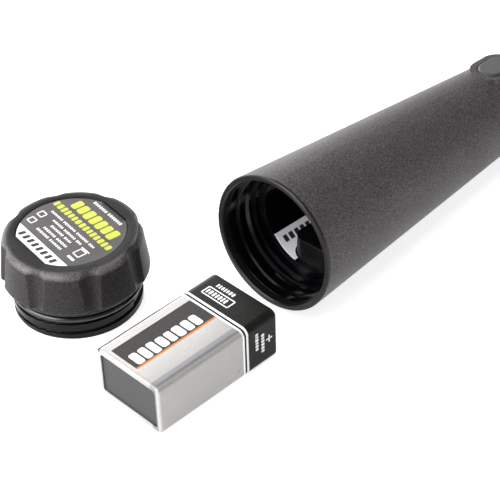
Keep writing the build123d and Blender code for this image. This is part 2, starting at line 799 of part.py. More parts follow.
with BuildPart() as positive_terminal:
    with BuildSketch(battery_section(CRIMP)):
        with Locations((TERMINAL_SPACING / 2, 0)):
            Circle(3.6)
    extrude(amount=-0.5)
    with BuildSketch(battery_section(CRIMP - 0.5)):
        with Locations((TERMINAL_SPACING / 2, 0)):
            Circle(2.85)
    extrude(amount=-2.0)
    fillet(positive_terminal.edges().group_by(BATTERY_AXIS)[0], 0.5)

with BuildPart() as negative_terminal:
    with BuildSketch(battery_section(CRIMP)):
        with Locations((-TERMINAL_SPACING / 2, 0)):
            Circle(4.3)
    extrude(amount=-0.6)
    with BuildSketch(battery_section(CRIMP - 0.6)):
        with Locations((-TERMINAL_SPACING / 2, 0)):
            RegularPolygon(4.4, 6)
            Circle(3.1, mode=Mode.SUBTRACT)
    extrude(amount=-1.9)

# ---------------------------------------------------------------- the separate pieces
pieces = {
    "handle_tube": handle_tube,
    "nose_tube": nose_tube,
    "battery_guides": battery_guides,
    "serial_strip": serial_strip,
    "contact_block": contact_block,
    "contact_barrels": contact_barrels,
    "positive_contact": positive_contact,
    "negative_contact": negative_contact,
    "circuit_board": circuit_board,
    "board_screws": board_screws,
    "main_chip": main_chip,
    "small_components": small_components,
    "capacitor": capacitor,
    "buzzer": buzzer,
    "sound_membrane": sound_membrane,
    "vibration_motor": vibration_motor,
    "motor_rotor": motor_rotor,
    "tactile_switch": tactile_switch,
    "switch_plunger": switch_plunger,
    "power_button": power_button,
    "lamp": lamp,
    "lamp_leads": lamp_leads,
    "battery_leads": battery_leads,
    "coil_leads": coil_leads,
    "ferrite_core": ferrite_core,
    "coil_former": coil_former,
    "transmit_winding": transmit_winding,
    "receive_winding": receive_winding,
    "core_cushions": core_cushions,
    "cap_knob": cap_knob,
    "cap_label": cap_label,
    "cap_o_ring": cap_o_ring,
    "battery_pad": battery_pad,
    "battery_jacket": battery_jacket,
    "battery_top_plate": battery_top_plate,
    "battery_base_plate": battery_base_plate,
    "battery_cells": battery_cells,
    "positive_terminal": positive_terminal,
    "negative_terminal": negative_terminal,
}

os.makedirs("parts", exist_ok=True)
for name, piece in pieces.items():
    piece.part.label = name
    export_step(piece.part, f"parts/{name}.step")

print(f"tilt {degrees(TILT):.3f} deg, mouth centre {tuple(round(v, 3) for v in MOUTH)}")
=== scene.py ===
"""Looks of the pinpointer probe, opened for its battery: tube, screw cap and 9 V battery on a table.

The CAD nodes stay in place and get their materials here. The knob of the cap and all printing are
modelled here. Lengths are in metres unless a comment says mm, and angles in radians.
"""
import json
import random
from math import cos, exp, log1p, pi, radians, sin, sqrt

import bpy
from mathutils import Matrix, Vector


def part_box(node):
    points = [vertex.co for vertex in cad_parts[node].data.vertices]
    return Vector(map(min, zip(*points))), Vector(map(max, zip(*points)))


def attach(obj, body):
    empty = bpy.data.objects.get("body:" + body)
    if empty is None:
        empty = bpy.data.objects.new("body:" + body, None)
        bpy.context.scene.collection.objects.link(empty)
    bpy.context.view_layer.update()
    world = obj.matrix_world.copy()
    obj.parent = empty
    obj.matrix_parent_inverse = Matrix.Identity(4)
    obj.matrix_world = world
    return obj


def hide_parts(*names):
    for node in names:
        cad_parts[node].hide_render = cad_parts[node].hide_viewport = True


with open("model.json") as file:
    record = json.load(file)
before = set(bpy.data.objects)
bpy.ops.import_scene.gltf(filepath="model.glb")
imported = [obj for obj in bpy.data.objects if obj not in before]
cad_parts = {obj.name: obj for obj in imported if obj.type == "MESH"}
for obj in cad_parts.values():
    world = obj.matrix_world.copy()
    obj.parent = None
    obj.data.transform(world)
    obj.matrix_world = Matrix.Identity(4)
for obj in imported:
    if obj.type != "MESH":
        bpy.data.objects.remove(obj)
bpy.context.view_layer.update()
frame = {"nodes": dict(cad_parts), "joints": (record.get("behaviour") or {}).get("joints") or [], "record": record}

MM = 0.001
nodes = frame["nodes"]
mounts = {mount["name"]: mount for mount in frame["record"]["mounts"]}
joints = {joint["name"]: joint for joint in frame["joints"]}

# ---------------------------------------------------------------- places, read from the frame or given
THROAT_DEPTH = 14.5 * MM
ALONG = -Vector(mounts["battery_throat"]["axis"])
ACROSS = Vector((0, 1, 0))
UP = ALONG.cross(ACROSS)
MOUTH = Vector(mounts["battery_throat"]["pos_m"]) - ALONG * THROAT_DEPTH
MOUTH_RADIUS = 22.5 * MM
TAPER = 0.0655

CAP = Vector(joints["cap_turn"]["pos_m"])
FLUTE_TURN = radians(16.8)
LABEL_TURN = radians(-10)
LABEL_SHIFT = (0.1 * MM, 0.35 * MM)
LABEL_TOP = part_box("cap_label")[1].z

BATTERY_OUT = Vector(joints["battery_slide"]["axis"])
jacket_low, jacket_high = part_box("battery_jacket")
JACKET_CENTRE = (jacket_low + jacket_high) / 2
CASE_LENGTH = 46.4 * MM
CASE_WIDTH = 26.5 * MM
CASE_HEIGHT = jacket_high.z - jacket_low.z
BATTERY_FRONT = JACKET_CENTRE - BATTERY_OUT * CASE_LENGTH / 2
BATTERY_SIDE = Vector((0, 0, 1)).cross(BATTERY_OUT)


# ---------------------------------------------------------------- camera
def aim_camera():
    """Camera of the photographed view: a long lens, 38 degrees above the table."""
    azimuth, elevation, roll = radians(-46.2), radians(38.28), radians(-1.9)
    distance, aim = 0.5142, Vector((15.59, 22.74, 0)) * MM
    target = MOUTH - UP * MOUTH_RADIUS + aim
    back = Vector((sin(azimuth) * cos(elevation), -cos(azimuth) * cos(elevation), sin(elevation)))
    level = Vector((cos(azimuth), sin(azimuth), 0))
    rise = back.cross(level)
    right = level * cos(roll) + rise * sin(roll)
    above = rise * cos(roll) - level * sin(roll)
    camera = bpy.data.objects.new("camera", bpy.data.cameras.new("camera"))
    bpy.context.scene.collection.objects.link(camera)
    turned = Matrix((right, above, back)).transposed().to_4x4()
    camera.matrix_world = Matrix.Translation(target + back * distance) @ turned
    camera.data.sensor_width, camera.data.lens = 36, 115.06
    camera.data.clip_start = 0.01
    bpy.context.scene.camera = camera


# ---------------------------------------------------------------- materials
class Surface:
    """One procedural material, built node by node around its Principled shader."""

    def __init__(self, name):
        self.material = bpy.data.materials.new(name)
        self.material.use_nodes = True
        self.tree = self.material.node_tree
        self.shader = self.tree.nodes["Principled BSDF"]
        self.place = self.add("TexCoord").outputs["Object"]

    def add(self, kind, **settings):
        node = self.tree.nodes.new("ShaderNode" + kind)
        for key, value in settings.items():
            setattr(node, key, value)
        return node

    def feed(self, socket, value):
        if isinstance(value, bpy.types.NodeSocket):
            self.tree.links.new(value, socket)
        else:
            socket.default_value = value

    def set(self, **values):
        """Sockets of the shader, by name with _ for a space."""
        for key, value in values.items():
            self.feed(self.shader.inputs[key.replace("_", " ")], value)
        return self

    def math(self, operation, *values):
        node = self.add("Math", operation=operation)
        for socket, value in zip(node.inputs, values):
            self.feed(socket, value)
        return node.outputs[0]

    def noise(self, size, detail=2.0, roughness=0.5, stretch=None):
        """Noise from 0 to 1 whose blobs are about size metres across."""
        place = self.place
        if stretch:
            mapping = self.add("Mapping")
            self.feed(mapping.inputs["Vector"], place)
            mapping.inputs["Scale"].default_value = stretch
            place = mapping.outputs[0]
        node = self.add("TexNoise")
        self.feed(node.inputs["Vector"], place)
        node.inputs["Scale"].default_value = 1 / size
        node.inputs["Detail"].default_value = detail
        node.inputs["Roughness"].default_value = roughness
        return node.outputs["Fac"]

    def band(self, value, low, high, soft=0.03 * MM):
        """1 where value lies between low and high, 0 elsewhere."""
        rise = self.spread(value, low - soft, low + soft, 0, 1)
        fall = self.spread(value, high - soft, high + soft, 1, 0)
        return self.math("MULTIPLY", rise, fall)

    def spread(self, value, low, high, to_low, to_high):
        """Value spread from the range low..high to to_low..to_high, clamped."""
        node = self.add("MapRange", clamp=True)
        for socket, number in zip(node.inputs, (value, low, high, to_low, to_high)):
            self.feed(socket, number)
        return node.outputs[0]

    def mix(self, factor, first, second):
        node = self.add("Mix", data_type="RGBA")
        self.feed(node.inputs["Factor"], factor)
        colour_inputs = [socket for socket in node.inputs if socket.type == "RGBA"]
        for socket, colour in zip(colour_inputs, (first, second)):
            self.feed(socket, colour if isinstance(colour, bpy.types.NodeSocket) else (*colour, 1))
        return [socket for socket in node.outputs if socket.type == "RGBA"][0]

    def mix_number(self, factor, first, second):
        """Number that goes from first to second as factor goes from 0 to 1."""
        return self.math("ADD", self.math("MULTIPLY", self.math("SUBTRACT", 1.0, factor), first),
                         self.math("MULTIPLY", factor, second))

    def measure(self, origin, axis):
        """Distance along axis from origin, of each point of the piece."""
        offset = self.add("VectorMath", operation="SUBTRACT")
        self.feed(offset.inputs[0], self.place)
        offset.inputs[1].default_value = origin
        along = self.add("VectorMath", operation="DOT_PRODUCT")
        self.feed(along.inputs[0], offset.outputs[0])
        along.inputs[1].default_value = axis
        return along.outputs["Value"]

    def round_the_tube(self):
        """Distance from the axis of the tube, and the angle from across towards up."""
        height, across = self.measure(MOUTH, UP), self.measure(MOUTH, ACROSS)
        squares = [self.math("MULTIPLY", part, part) for part in (height, across)]
        return self.math("SQRT", self.math("ADD", *squares)), self.math("ARCTAN2", height, across)

    def round_the_cap(self):
        """Height above the table at rest, and distance from the axis of the cap."""
        height, east, north = (
            self.measure(CAP, Vector(axis)) for axis in ((0, 0, 1), (1, 0, 0), (0, 1, 0)))
        squares = [self.math("MULTIPLY", part, part) for part in (east, north)]
        return height, self.math("SQRT", self.math("ADD", *squares))

    def relief(self, height, depth, edge=0.0):
        """Bump of that depth in metres, over edges rounded by edge metres."""
        bump = self.add("Bump")
        bump.inputs["Strength"].default_value = 1.0
        bump.inputs["Distance"].default_value = depth
        self.feed(bump.inputs["Height"], height)
        if edge:
            bevel = self.add("Bevel", samples=4)
            bevel.inputs["Radius"].default_value = edge
            self.feed(bump.inputs["Normal"], bevel.outputs[0])
        self.feed(self.shader.inputs["Normal"], bump.outputs[0])
        return self


def tinted(colour, factor):
    return tuple(min(1.0, channel * factor) for channel in colour)


def moulded_plastic(
        name, colour, roughness=0.45, grain=0.4 * MM, depth=0.03 * MM, mottle=0.25, edge=0.2 * MM):
    """Textured moulded plastic: fine grain and slow changes of tone."""
    surface = Surface(name)
    fine = surface.noise(grain, detail=3.0, roughness=0.65)
    slow = surface.noise(14 * MM, detail=3.0)
    tone = surface.spread(slow, 0, 1, -0.175, 0.175)
    tone = surface.math("ADD", tone, surface.spread(fine, 0, 1, 0.175, 0.825))
    surface.set(
        Base_Color=surface.mix(tone, tinted(colour, 1 - mottle), tinted(colour, 1 + mottle)),
        Roughness=surface.spread(slow, 0.3, 0.7, roughness - 0.05, roughness + 0.07),
        Specular_IOR_Level=0.28,
    )
    return surface.relief(fine, depth, edge).material


def knob_surface():
    """Cap: speckled satin grips, a painted brow highlight, painted shade on recess and top, a glossy spigot."""
    surface = Surface("knob_textured")
    height, radius = surface.round_the_cap()
    # Zones: grip above the spigot, sunk label recess, flat top (painted shade), brow (painted highlight)
    grip = surface.spread(height, 9.95 * MM, 10.05 * MM, 0, 1)
    sunk = surface.math("MULTIPLY", surface.band(height, 25.2 * MM, 25.64 * MM),
                        surface.spread(radius, 17.4 * MM, 17.5 * MM, 1, 0))
    fine = surface.noise(0.5 * MM, detail=2.0, roughness=0.7)
    slow = surface.noise(9 * MM, detail=3.0)
    speckle = surface.spread(fine, 0.36, 0.66, 0, 1)
    # Painted shade on the flat top: full above 25.3 mm and inside 18.8 mm, none beyond 20 mm
    top = surface.math("MINIMUM", surface.spread(height, 25.0 * MM, 25.3 * MM, 0, 1),
                       surface.spread(radius, 18.8 * MM, 20.0 * MM, 1, 0))
    # Painted highlight: a patchy pale band on the front of the brow
    brow = surface.math("MULTIPLY", surface.band(radius, 20.0 * MM, 22.5 * MM, 0.6 * MM),
                        surface.band(height, 24.0 * MM, 26.5 * MM, 0.6 * MM))
    patchy = surface.spread(surface.math("ADD", fine, slow), 0.75, 1.25, 0.15, 0.85)
    brow_highlight = surface.math("MULTIPLY", brow, patchy)
    body = surface.mix(speckle, (0.008, 0.0073, 0.0076), (0.030, 0.0265, 0.028))
    body = surface.mix(brow_highlight, body, (0.17, 0.155, 0.16))
    # Painted shade: the label recess and the flat top darkened nearly to black
    painted_shade = surface.math("MAXIMUM", sunk, surface.math("MULTIPLY", top, 0.8))
    body = surface.mix(painted_shade, body, (0.001, 0.001, 0.001))
    surface.set(
        Base_Color=surface.mix(grip, (0.003, 0.003, 0.0035), body),
        Roughness=surface.spread(surface.math("ADD", grip, painted_shade), 0, 2, 0.16, 0.62),
        Specular_IOR_Level=0.145,
    )
    return surface.relief(surface.math("MULTIPLY", fine, grip), 0.11 * MM, 0.1 * MM).material


def tube_surface():
    """Handle: speckled grain outside, a smooth rim, glossy near-black painted shade in the mouth and the well."""
    surface = Surface("tube_textured")
    along = surface.measure(MOUTH, ALONG)
    radius = surface.round_the_tube()[0]
    level = surface.math("ADD", radius, surface.math("MULTIPLY", along, TAPER))
    # Zones: the grained outside, and the smooth rim with its margin and the land inside it
    grained = surface.spread(along, 0.9 * MM, 1.1 * MM, 0, 1)
    outside = surface.math("MULTIPLY", surface.spread(level, 22.1 * MM, 22.2 * MM, 0, 1), grained)
    land = surface.math("MULTIPLY", surface.spread(level, 20.3 * MM, 20.4 * MM, 0, 1),
                        surface.spread(along, 2.3 * MM, 2.5 * MM, 1, 0))
    rim = surface.math("SUBTRACT", surface.math("MAXIMUM", land, outside), outside)
    fine = surface.noise(0.5 * MM, detail=2.0, roughness=0.7)
    slow = surface.noise(16 * MM, detail=3.0)
    speckle = surface.spread(fine, 0.36, 0.66, 0, 1)
    grain = surface.mix(speckle, (0.014, 0.0122, 0.013), (0.105, 0.093, 0.098))
    grain = surface.mix(surface.math("MULTIPLY", slow, 0.2), grain, (0.040, 0.035, 0.037))
    rough = surface.spread(slow, 0.3, 0.7, 0.40, 0.48)
    # Painted shade: inside the land the mouth and the well are nearly black, the rim a little lighter
    inside = surface.mix(rim, (0.002, 0.002, 0.003), (0.009, 0.008, 0.0075))
    surface.set(
        Base_Color=surface.mix(outside, inside, grain),
        Roughness=surface.mix_number(outside, surface.spread(rim, 0, 1, 0.10, 0.30), rough),
        Specular_IOR_Level=0.27,
    )
    return surface.relief(surface.math("MULTIPLY", fine, outside), 0.14 * MM, 0.1 * MM).material


def metal(name, colour, roughness, brushed=None, edge=0.15 * MM):
    """Metal with fine brushing or haze and faint handling marks."""
    surface = Surface(name)
    lines = surface.noise(0.25 * MM, detail=2.0, stretch=brushed or (1, 1, 1))
    haze = surface.noise(6 * MM, detail=4.0, roughness=0.6)
    worked = surface.math("MULTIPLY", lines, haze)
    surface.set(
        Base_Color=surface.mix(haze, tinted(colour, 0.86), tinted(colour, 1.08)),
        Metallic=1.0,
        Roughness=surface.spread(worked, 0.1, 0.4, roughness - 0.06, roughness + 0.1),
    )
    return surface.relief(lines, 0.006 * MM, edge).material


def rubber(name, colour, roughness=0.35, sheen=0.0):
    """Smooth rubber with a faint film of dust or grease."""
    surface = Surface(name)
    film = surface.noise(2.5 * MM, detail=4.0)
    fine = surface.noise(0.15 * MM, detail=2.0)
    surface.set(
        Base_Color=surface.mix(film, tinted(colour, 0.7), tinted(colour, 1.4)),
        Roughness=surface.spread(film, 0.3, 0.7, roughness - 0.1, roughness + 0.1),
        Sheen_Weight=sheen,
    )
    return surface.relief(fine, 0.01 * MM).material


def ink(name, colour, roughness=0.5):
    """Printed ink, a little uneven, with pinholes of the paper's grain."""
    surface = Surface(name)
    fine = surface.noise(0.12 * MM, detail=3.0)
    broad = surface.noise(3 * MM)
    tone = surface.math("MULTIPLY", fine, broad)
    surface.set(
        Base_Color=surface.mix(tone, colour, tinted(colour, 0.72)),
        Roughness=roughness,
        Specular_IOR_Level=0.15,
    )
    return surface.relief(fine, 0.004 * MM).material


def dress(node, material):
    """Gives a CAD node its finished material."""
    obj = nodes[node]
    if not obj.material_slots:
        obj.data.materials.append(material)
    for place in obj.material_slots:
        place.material = material


# ---------------------------------------------------------------- meshes
def make_object(name, vertices, faces, material, smooth=True):
    mesh = bpy.data.meshes.new(name)
    mesh.from_pydata([tuple(v) for v in vertices], [], faces)
    mesh.validate()
    mesh.update()
    mesh.materials.append(material)
    for polygon in mesh.polygons:
        polygon.use_smooth = smooth
    obj = bpy.data.objects.new(name, mesh)
    bpy.context.scene.collection.objects.link(obj)
    return obj


def smooth_by_angle(obj, angle=radians(32)):
    """Keeps the edges sharper than angle crisp under smooth shading."""
    mesh = obj.data
    faces_of = [[] for _ in mesh.edges]
    edge_index = {tuple(sorted(edge.vertices)): edge.index for edge in mesh.edges}
    for polygon in mesh.polygons:
        for key in polygon.edge_keys:
            faces_of[edge_index[tuple(sorted(key))]].append(polygon.normal.copy())
    for edge, normals in zip(mesh.edges, faces_of):
        edge.use_edge_sharp = len(normals) == 2 and normals[0].angle(normals[1], 0) > angle


def lathe(name, rows, material, centre, segments=384):
    """Closed turned body from rows of (radius, height).

    A radius may be a function of the angle, and both end rows lie on the axis.
    """
    vertices = [Vector((0, 0, rows[0][1]))]
    for radius, height in rows[1:-1]:
        for step in range(segments):
            angle = 2 * pi * step / segments
            r = radius(angle) if callable(radius) else radius
            vertices.append(Vector((r * cos(angle), r * sin(angle), height)))
    vertices.append(Vector((0, 0, rows[-1][1])))
    rings = len(rows) - 2
    faces = []
    for step in range(segments):
        after = (step + 1) % segments
        faces.append((0, 1 + step, 1 + after))
        for ring in range(rings - 1):
            start = 1 + ring * segments
            below = start + segments
            faces.append((start + step, below + step, below + after, start + after))
        last = 1 + (rings - 1) * segments
        faces.append((last + after, last + step, len(vertices) - 1))
    return make_object(name, [vertex + centre for vertex in vertices], faces, material)


def plate(name, outline, origin, right, above, thickness, material):
    """Thin plate: an outline of (x, y) points along right and above, raised along its normal."""
    normal = right.cross(above)
    base = [origin + right * x + above * y for x, y in outline]
    count = len(base)
    vertices = base + [point + normal * thickness for point in base]
    faces = [tuple(range(count - 1, -1, -1)), tuple(range(count, 2 * count))]
    for index in range(count):
        after = (index + 1) % count
        faces.append((index, after, count + after, count + index))
    return make_object(name, vertices, faces, material, smooth=False)


def join(name, pieces):
    """Joins several mesh objects into one piece."""
    vertices, faces = [], []
    material = pieces[0].data.materials[0]
    for piece in pieces:
        start = len(vertices)
        vertices += [vertex.co.copy() for vertex in piece.data.vertices]
        faces += [tuple(start + index for index in polygon.vertices) for polygon in piece.data.polygons]
        mesh = piece.data
        bpy.data.objects.remove(piece)
        bpy.data.meshes.remove(mesh)
    return make_object(name, vertices, faces, material, smooth=False)


def rounded_bar(width, height, centre, slant=0.0, corner=0.3, steps=3):
    """Outline of a bar with rounded corners, leaning by slant."""
    radius = corner * min(width, height)
    outline = []
    for quarter, (sx, sy) in enumerate(((1, 1), (-1, 1), (-1, -1), (1, -1))):
        for step in range(steps + 1):
            angle = pi / 2 * (quarter + step / steps)
            x = sx * (width / 2 - radius) + radius * cos(angle)
            y = sy * (height / 2 - radius) + radius * sin(angle)
            outline.append((centre[0] + x + slant * y, centre[1] + y))
    return outline


# ---------------------------------------------------------------- knob of the cap
# Lengths here are in mm, as drawn in the CAD.
CAP_HEIGHT = 25.7
RECESS_FLOOR = 25.25
RECESS_RADIUS = 16.95
RECESS_HALF_WIDTH = 15.4
RECESS_SHIFT = 0.7
LABEL_RADIUS = 16.65
# Centre of the brow's curve as (radius, height), with its reach outwards and up
BROW = (20.0, 22.0, 1.7, 3.7)
# Widest row of the grip and the row where it meets the collar, as (radius, height)
KNOB_FOOT = (22.89, 12.5)
COLLAR = (21.3, 11.5)
FLUTE_CENTRE = 23.9
FLUTE_RADIUS = 3.9
FLUTE_NARROWING = 1.75 / (CAP_HEIGHT - COLLAR[1])
THREAD = {"root": 19.45, "crest": 0.7, "half": 1.27, "slope": 0.27, "pitch": 3.5,
          "foot": -1.2, "top": 5.3, "start": radians(-20)}
# Shoulder, neck and O-ring groove above the thread, as (radius, height)
SHOULDER = (
    (21.3, 11.4), (21.3, 10.25), (21.22, 10.06), (21.05, 10.0), (20.25, 10.0), (20.15, 9.92),
    (20.15, 9.05), (20.0, 8.87), (18.8, 8.85), (18.78, 8.8), (18.78, 6.7), (18.8, 6.65),
    (20.05, 6.63))
# Rows that carry the thread: height of the highest, spacing and count
THREADED = (6.45, 0.1, 64)
# Foot of the spigot and the well inside it
FOOT = ((19.35, 0), (16.85, 0), (16.65, 0.08), (16.6, 0.3), (16.6, 21), (0, 21))


def flute_reach(angle, height):
    """Distance in mm from the cap's axis to the nearest finger flute at that height."""
    period = pi / 4
    offset = (angle - FLUTE_TURN) % period
    offset = min(offset, period - offset)
    flute = FLUTE_RADIUS - FLUTE_NARROWING * (CAP_HEIGHT - height)
    reach = flute * flute - (FLUTE_CENTRE * sin(offset)) ** 2
    return FLUTE_CENTRE * cos(offset) - sqrt(reach) if reach > 0 else 10 * FLUTE_CENTRE


def lobed(radius, height, soften=0.55):
    """Row of the knob whose lobes reach radius, softened beside each flute; all in mm."""

    def at_angle(angle):
        gap = (flute_reach(angle, height) - radius) / soften
        return (radius - (soften * log1p(exp(-gap)) if gap < 30 else 0)) * MM

    return at_angle, height * MM


def recess(offset):
    """Label recess, an off-centre disc with two flats, widened by offset in mm."""
    shift_x, shift_y = LABEL_SHIFT[0] / MM, LABEL_SHIFT[1] / MM

    def at_angle(angle):
        across, along = cos(angle - LABEL_TURN), sin(angle - LABEL_TURN)
        middle = shift_x * across + shift_y * along
        aside = shift_x * along - shift_y * across
        reach = middle + sqrt(RECESS_RADIUS ** 2 - aside ** 2)
        flat = RECESS_HALF_WIDTH + (shift_x + RECESS_SHIFT) * (1 if across > 0 else -1)
        if abs(across) > 0.1:
            reach = min(reach, flat / abs(across))
        return (reach + offset) * MM

    return at_angle


def spigot(height):
    """Row of the spigot at that height in mm, with the broad right-hand ridge of its thread."""
    turns = (THREAD["top"] - THREAD["foot"]) / THREAD["pitch"]

    def at_angle(angle):
        part = ((angle - THREAD["start"]) / (2 * pi)) % 1.0
        rise = 0.0
        for turn in (part, part + 1):
            away = abs(height - THREAD["foot"] - THREAD["pitch"] * turn)
            ridge = min(1.0, max(0.0, (THREAD["half"] - away) / THREAD["slope"]))
            end = min(1.0, max(0.0, (turns - turn) / 0.012))
            rise = max(rise, ridge * ridge * (3 - 2 * ridge) * end)
        chamfer = 19.72 + 0.85 * height
        return min(THREAD["root"] + THREAD["crest"] * rise, chamfer) * MM

    return at_angle, height * MM


def knob_rows():
    """Rows of the knob and its spigot, from the label recess down the outside and up the well."""
    floor_z = RECESS_FLOOR * MM
    rows = [(0, floor_z), (recess(-0.05), floor_z), (recess(0), floor_z + 0.05 * MM)]
    rows += [(recess(0), (CAP_HEIGHT - 0.2) * MM), (recess(0.06), (CAP_HEIGHT - 0.06) * MM)]
    rows.append((recess(0.2), CAP_HEIGHT * MM))
    radius, height, across, up = BROW
    for step in range(21):
        angle = pi / 2 * (1 - step / 20)
        rows.append(lobed(radius + across * cos(angle), height + up * sin(angle)))
    for step in range(1, 13):
        share = step / 12
        outward = radius + across + (KNOB_FOOT[0] - radius - across) * share
        rows.append(lobed(outward, height + (KNOB_FOOT[1] - height) * share))
    for step in range(1, 9):
        angle = pi / 2 * step / 8
        inward = (KNOB_FOOT[0] - COLLAR[0]) * (1 - cos(angle))
        rows.append(lobed(KNOB_FOOT[0] - inward, KNOB_FOOT[1] - (KNOB_FOOT[1] - COLLAR[1]) * sin(angle)))
    rows += [(r * MM, z * MM) for r, z in SHOULDER]
    thread_top, spacing, count = THREADED
    rows += [spigot(thread_top - spacing * step) for step in range(count)]
    rows += [(r * MM, z * MM) for r, z in FOOT]
    return rows


def make_knob(material):
    knob = lathe("cap_knob_lobed", knob_rows(), material, CAP)
    smooth_by_angle(knob, radians(50))
    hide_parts("cap_knob")
    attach(knob, "cap")


# ---------------------------------------------------------------- printing
def glyph_row(rng, start, end, y, height, widths, gap, word=None):
    """Outlines of a row of plain bars that stand for print; word is the letters in each word."""
    outlines, x, count = [], start, 0
    while True:
        width = rng.uniform(*widths)
        if x + width > end:
            return outlines
        outlines.append(rounded_bar(width, height * rng.uniform(0.86, 1.0), (x + width / 2, y)))
        count += 1
        x += width + gap
        if word and count % word == 0:
            x += 1.8 * gap
            count = 0


def print_on(name, outlines, origin, right, above, material, body, thickness=0.03 * MM):
    """Printed marks, raised by the thickness of the ink, as one piece."""
    plates = []
    for outline in outlines:
        points = [(x * MM, y * MM) for x, y in outline]
        plates.append(plate(name + "_mark", points, origin, right, above, thickness, material))
    piece = join(name, plates)
    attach(piece, body)
    return piece


def frame_outlines(width, height, centre, line):
    """Four bars that make a rectangular frame."""
    x, y = centre
    return [
        rounded_bar(width, line, (x, y + height / 2)),
        rounded_bar(width, line, (x, y - height / 2)),
        rounded_bar(line, height, (x + width / 2, y)),
        rounded_bar(line, height, (x - width / 2, y)),
    ]


def label_frame(lift=0.0):
    """Origin, reading direction and upward direction of the print on the cap."""
    above = Vector((cos(LABEL_TURN), sin(LABEL_TURN), 0))
    right = Vector((sin(LABEL_TURN), -cos(LABEL_TURN), 0))
    centre = Vector((CAP.x, CAP.y, LABEL_TOP + lift)) + above * LABEL_SHIFT[0] - right * LABEL_SHIFT[1]
    return centre, right, above


def chord(y):
    """Half the width of the round label at y, in mm."""
    return sqrt(LABEL_RADIUS ** 2 - y ** 2)


def small_print(rng):
    """Small white lines, two framed marks, a pictogram and a bar, as plain shapes."""
    marks = glyph_row(rng, -7.9, 7.9, 13.5, 1.1, (0.5, 0.85), 0.34, word=7)
    lines = ((-12.4, 11.3, 0.85), (-8.2, 7.7, -1.25), (-6.2, 5.2, -3.2), (-7.0, 6.2, -5.3),
             (-7.9, 6.8, -7.2))
    for start, end, y in lines:
        marks += glyph_row(rng, start, end, y, 0.95, (0.4, 0.75), 0.34, word=7)
    for x, y in ((-13.1, -2.3), (-12.5, -6.2)):
        marks += frame_outlines(2.4, 2.2, (x, y), 0.4)
    marks += frame_outlines(2.8, 3.0, (10.6, -3.8), 0.4)
    marks.append(rounded_bar(4.0, 0.45, (10.6, -1.7)))
    marks.append(rounded_bar(3.3, 0.9, (10.9, -7.1)))
    return marks


def print_cap_label(yellow, white, black):
    """Plain bars for the print on the cap: yellow headings, small white lines, a white strip."""
    rng = random.Random(7)
    origin, right, above = label_frame()
    heading = glyph_row(rng, -11.4, 12.6, 8.7, 4.7, (2.6, 3.0), 0.55)
    heading += glyph_row(rng, -15.5, 15.4, 4.2, 2.5, (1.3, 1.8), 0.55)
    print_on("label_headings", heading, origin, right, above, yellow, "cap")
    print_on("label_small_print", small_print(rng), origin, right, above, white, "cap")
    strip = [(-chord(y), y) for y in (-9.85, -11, -12, -13, -14.3)]
    strip += [(-x, y) for x, y in reversed(strip)]
    print_on("label_serial_strip", [strip], origin, right, above, white, "cap",
             0.04 * MM)
    # Painted shadow: a black bar along the flat edge, for the shaded wall and gap of the recess
    painted_shadow = [rounded_bar(11.5, 0.7, (0, 14.9), corner=0.1)]
    print_on("label_painted_shadow", painted_shadow, origin, right, above, black, "cap")
    origin = label_frame(0.04 * MM)[0]
    marks = [rounded_bar(1.4, 2.3, (2.5 * place - 8.75, -12.0), slant=0.2) for place in range(8)]
    print_on("label_serial_marks", marks, origin, right, above, black, "cap")


def battery_print(name, outlines, origin, right, above, white):
    print_on(name, outlines, origin, right, above, white, "battery", 0.02 * MM)


def print_battery(white):
    """Plain marks on the jacket: bars for print, a frame, and the + of the positive terminal."""
    out, side, up = BATTERY_OUT, BATTERY_SIDE, Vector((0, 0, 1))
    origin = BATTERY_FRONT + up * CASE_HEIGHT / 2
    rng = random.Random(3)
    top = glyph_row(rng, -7.6, 0.6, -3.7, 1.6, (0.5, 0.8), 0.45)
    top += frame_outlines(10.7, 3.4, (-3.5, -7.3), 0.4)
    top += glyph_row(rng, -8.1, 1.2, -7.3, 2.0, (0.6, 0.9), 0.5)
    battery_print("battery_top_marks", top, origin, side, -out, white)
    heading = glyph_row(rng, -43.0, -14.6, 0.9, 5.2, (2.2, 2.8), 0.7)
    battery_print("battery_heading", heading, origin, -out, -side, white)
    corner = BATTERY_FRONT + side * CASE_WIDTH / 2 - up * CASE_HEIGHT / 2
    face = [rounded_bar(2.6, 0.5, (-3.3, 9.0)), rounded_bar(0.5, 2.6, (-3.3, 9.0))]
    for distance, low, high in ((5.9, 5.4, 13.3), (8.3, 7.4, 14.0)):
        column = glyph_row(rng, low, high, 0, 1.3, (0.6, 1.0), 0.3)
        face += [[(y - distance, x) for x, y in reversed(mark)] for mark in column]
    battery_print("battery_side_marks", face, corner, -out, up, white)


